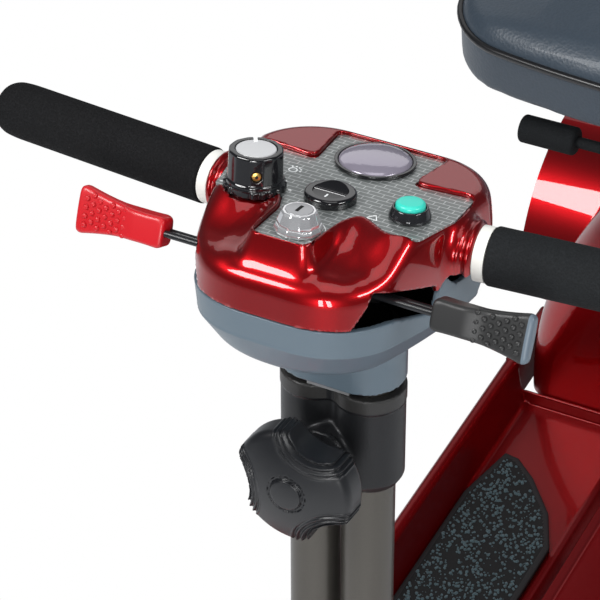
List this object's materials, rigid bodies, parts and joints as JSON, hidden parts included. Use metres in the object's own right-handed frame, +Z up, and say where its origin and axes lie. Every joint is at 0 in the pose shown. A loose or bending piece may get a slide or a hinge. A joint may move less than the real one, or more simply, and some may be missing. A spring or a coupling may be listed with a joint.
{
  "type": "mobility scooter",
  "caption": "Four-wheel mobility scooter with a twin-tube tilting tiller, padded swivel seat, flat foot deck, mudguards and a red body over a battery drive",
  "frame": {"origin": "centre of the bounding box in X and Y, on the floor under the wheels", "axes": "+Z up, X across the scooter, the scooter faces -Y, so the rider looks along -Y with the right hand on the -X side"},
  "size_m": [0.594, 1.4082, 1.047],
  "materials": {
    "candy_red": "gloss",
    "shell_grey": "satin",
    "panel_silver": "satin",
    "black_plastic": "gloss",
    "black_matte": "matte",
    "foam_black": "matte",
    "foam_slate": "matte",
    "brushed": "brushed",
    "chrome": "polished",
    "steel": "satin",
    "tube_grey": "satin",
    "collar_charcoal": "matte",
    "frame_black": "satin",
    "bush_white": "satin",
    "lens": "clear",
    "horn_cap": "gloss",
    "paddle_red": "satin",
    "paddle_olive": "matte",
    "tyre_grey": "matte",
    "wheel_silver": "satin",
    "mat_black": "matte",
    "lamp_clear": "clear",
    "battery_case": "matte",
    "cast": "rough",
    "vinyl": "satin",
    "warn_red": "gloss"
  },
  "bodies": {
    "base": {"front_frame": "frame_black", "rear_frame": "frame_black", "front_axle_beam": "frame_black", "deck_tub": "candy_red", "floor_mats": "mat_black", "front_cowl": "candy_red", "headlight": "lamp_clear", "front_bumper": "black_matte", "rear_shroud": "candy_red", "batteries": "battery_case", "controller_box": "black_matte", "transaxle_housing": "cast", "drive_motor": "steel", "seat_post": "steel"},
    "stem": {"steering_stem": "steel"},
    "tiller": {"tiller_tubes": "tube_grey", "tiller_yoke": "collar_charcoal"},
    "head": {"column_collar": "collar_charcoal", "head_lower_shell": "shell_grey", "head_upper_shell": "candy_red", "control_panel": "panel_silver", "handlebar": "steel", "bar_bushes": "bush_white", "grip_left": "foam_black", "grip_right": "foam_black", "control_sensors": "black_matte", "rocker_bezel": "black_plastic", "gauge_body": "black_plastic", "gauge_lens": "lens", "horn_bezel": "chrome", "key_housing": "chrome"},
    "knob": {"speed_knob": "black_plastic", "speed_knob_cap": "brushed"},
    "rocker": {"rocker_switch": "black_plastic"},
    "horn": {"horn_button": "horn_cap"},
    "key": {"key_plug": "chrome"},
    "throttle": {"lever_arms": "black_matte", "paddle_red": "paddle_red", "paddle_grey": "paddle_olive"},
    "clamp": {"clamp_knob": "black_matte"},
    "steer_left": {"knuckle_left": "cast"},
    "steer_right": {"knuckle_right": "cast"},
    "link": {"track_rod": "steel"},
    "wheel_fl": {"front_tyre_left": "tyre_grey", "front_rim_left": "wheel_silver"},
    "wheel_fr": {"front_tyre_right": "tyre_grey", "front_rim_right": "wheel_silver"},
    "wheel_rl": {"rear_tyre_left": "tyre_grey", "rear_rim_left": "wheel_silver"},
    "wheel_rr": {"rear_tyre_right": "tyre_grey", "rear_rim_right": "wheel_silver"},
    "anti_tip": {"anti_tip_wheels": "black_matte"},
    "freewheel": {"freewheel_lever": "warn_red"},
    "seat": {"seat_base": "frame_black", "seat_cushion": "vinyl"},
    "swivel_lever": {"seat_lever": "foam_slate"},
    "backrest": {"backrest_frame": "frame_black", "backrest_cushion": "vinyl"},
    "arm_left": {"armrest_left": "black_matte"},
    "arm_right": {"armrest_right": "black_matte"}
  },
  "joints": [
    {"name": "steering", "type": "hinge", "parent": "base", "child": "stem", "pos_m": [0, -0.5712, 0.21201], "axis": [0, 0.1392, 0.9903], "range_deg": [-30, 30]},
    {"name": "tiller_tilt", "type": "hinge", "parent": "stem", "child": "tiller", "pos_m": [0, -0.56007, 0.29123], "axis": [1, 0, 0], "range_deg": [-25, 10]},
    {"name": "tiller_height", "type": "slide", "parent": "tiller", "child": "head", "axis": [0, 0.1392, 0.9903], "range_m": [0, 0.06]},
    {"name": "clamp_knob_turn", "type": "hinge", "parent": "head", "child": "clamp", "pos_m": [0, -0.55588, 0.75213], "axis": [0, -0.9903, 0.1392], "range_deg": [0, 180]},
    {"name": "throttle_lever", "type": "hinge", "parent": "head", "child": "throttle", "pos_m": [0, -0.53332, 0.90653], "axis": [0, 0.4848, 0.8746], "range_deg": [-14, 14], "stiffness_Nm_per_rad": 0.5},
    {"name": "speed_knob_turn", "type": "hinge", "parent": "head", "child": "knob", "pos_m": [-0.046, -0.4989, 0.93711], "axis": [0, 0.2419, 0.9703], "range_deg": [-135, 135]},
    {"name": "power_rocker", "type": "hinge", "parent": "head", "child": "rocker", "pos_m": [0, -0.48835, 0.93396], "axis": [1, 0, 0], "range_deg": [-18, 0]},
    {"name": "horn_press", "type": "slide", "parent": "head", "child": "horn", "axis": [0, -0.2419, -0.9703], "range_m": [0, 0.0025], "stiffness_N_per_m": 300},
    {"name": "key_turn", "type": "hinge", "parent": "head", "child": "key", "pos_m": [0.003, -0.53213, 0.94849], "axis": [0, 0.2419, 0.9703], "range_deg": [-90, 0]},
    {"name": "kingpin_left", "type": "hinge", "parent": "base", "child": "steer_left", "pos_m": [0.172, -0.58484, 0.11496], "axis": [0, 0.1392, 0.9903], "range_deg": [-30, 30]},
    {"name": "kingpin_right", "type": "hinge", "parent": "base", "child": "steer_right", "pos_m": [-0.172, -0.58484, 0.11496], "axis": [0, 0.1392, 0.9903], "range_deg": [-30, 30]},
    {"name": "track_rod_eye", "type": "hinge", "parent": "steer_left", "child": "link", "pos_m": [0.172, -0.52334, 0.12146], "axis": [0, 0.1392, 0.9903], "range_deg": [-30, 30]},
    {"name": "wheel_front_left", "type": "hinge", "parent": "steer_left", "child": "wheel_fl", "pos_m": [0.225, -0.58484, 0.115], "axis": [1, 0, 0], "continuous": true},
    {"name": "wheel_front_right", "type": "hinge", "parent": "steer_right", "child": "wheel_fr", "pos_m": [-0.225, -0.58484, 0.115], "axis": [1, 0, 0], "continuous": true},
    {"name": "wheel_rear_left", "type": "hinge", "parent": "base", "child": "wheel_rl", "pos_m": [0.228, 0.47, 0.115], "axis": [1, 0, 0], "continuous": true},
    {"name": "wheel_rear_right", "type": "hinge", "parent": "base", "child": "wheel_rr", "pos_m": [-0.228, 0.47, 0.115], "axis": [1, 0, 0], "continuous": true},
    {"name": "anti_tip_roll", "type": "hinge", "parent": "base", "child": "anti_tip", "pos_m": [0, 0.64, 0.042], "axis": [1, 0, 0], "continuous": true},
    {"name": "freewheel_turn", "type": "hinge", "parent": "base", "child": "freewheel", "pos_m": [0.062, 0.52, 0.205], "axis": [1, 0, 0], "range_deg": [0, 20]},
    {"name": "seat_swivel", "type": "hinge", "parent": "base", "child": "seat", "pos_m": [0, 0.352, 0.45], "axis": [0, 0, 1], "range_deg": [-90, 90]},
    {"name": "seat_lever_swing", "type": "hinge", "parent": "seat", "child": "swivel_lever", "pos_m": [-0.042, 0.128, 0.498], "axis": [0, 0, 1], "range_deg": [-20, 0], "stiffness_Nm_per_rad": 1},
    {"name": "backrest_fold", "type": "hinge", "parent": "seat", "child": "backrest", "pos_m": [0, 0.545, 0.628], "axis": [1, 0, 0], "range_deg": [0, 75]},
    {"name": "armrest_left_lift", "type": "hinge", "parent": "seat", "child": "arm_left", "pos_m": [0.276, 0.48, 0.806], "axis": [1, 0, 0], "range_deg": [-95, 0]},
    {"name": "armrest_right_lift", "type": "hinge", "parent": "seat", "child": "arm_right", "pos_m": [-0.276, 0.48, 0.806], "axis": [1, 0, 0], "range_deg": [-95, 0]}
  ],
  "couplings": [
    {"joint": "kingpin_left", "follows": "steering", "ratio": 1},
    {"joint": "kingpin_right", "follows": "steering", "ratio": 1},
    {"joint": "track_rod_eye", "follows": "steering", "ratio": -1}
  ]
}
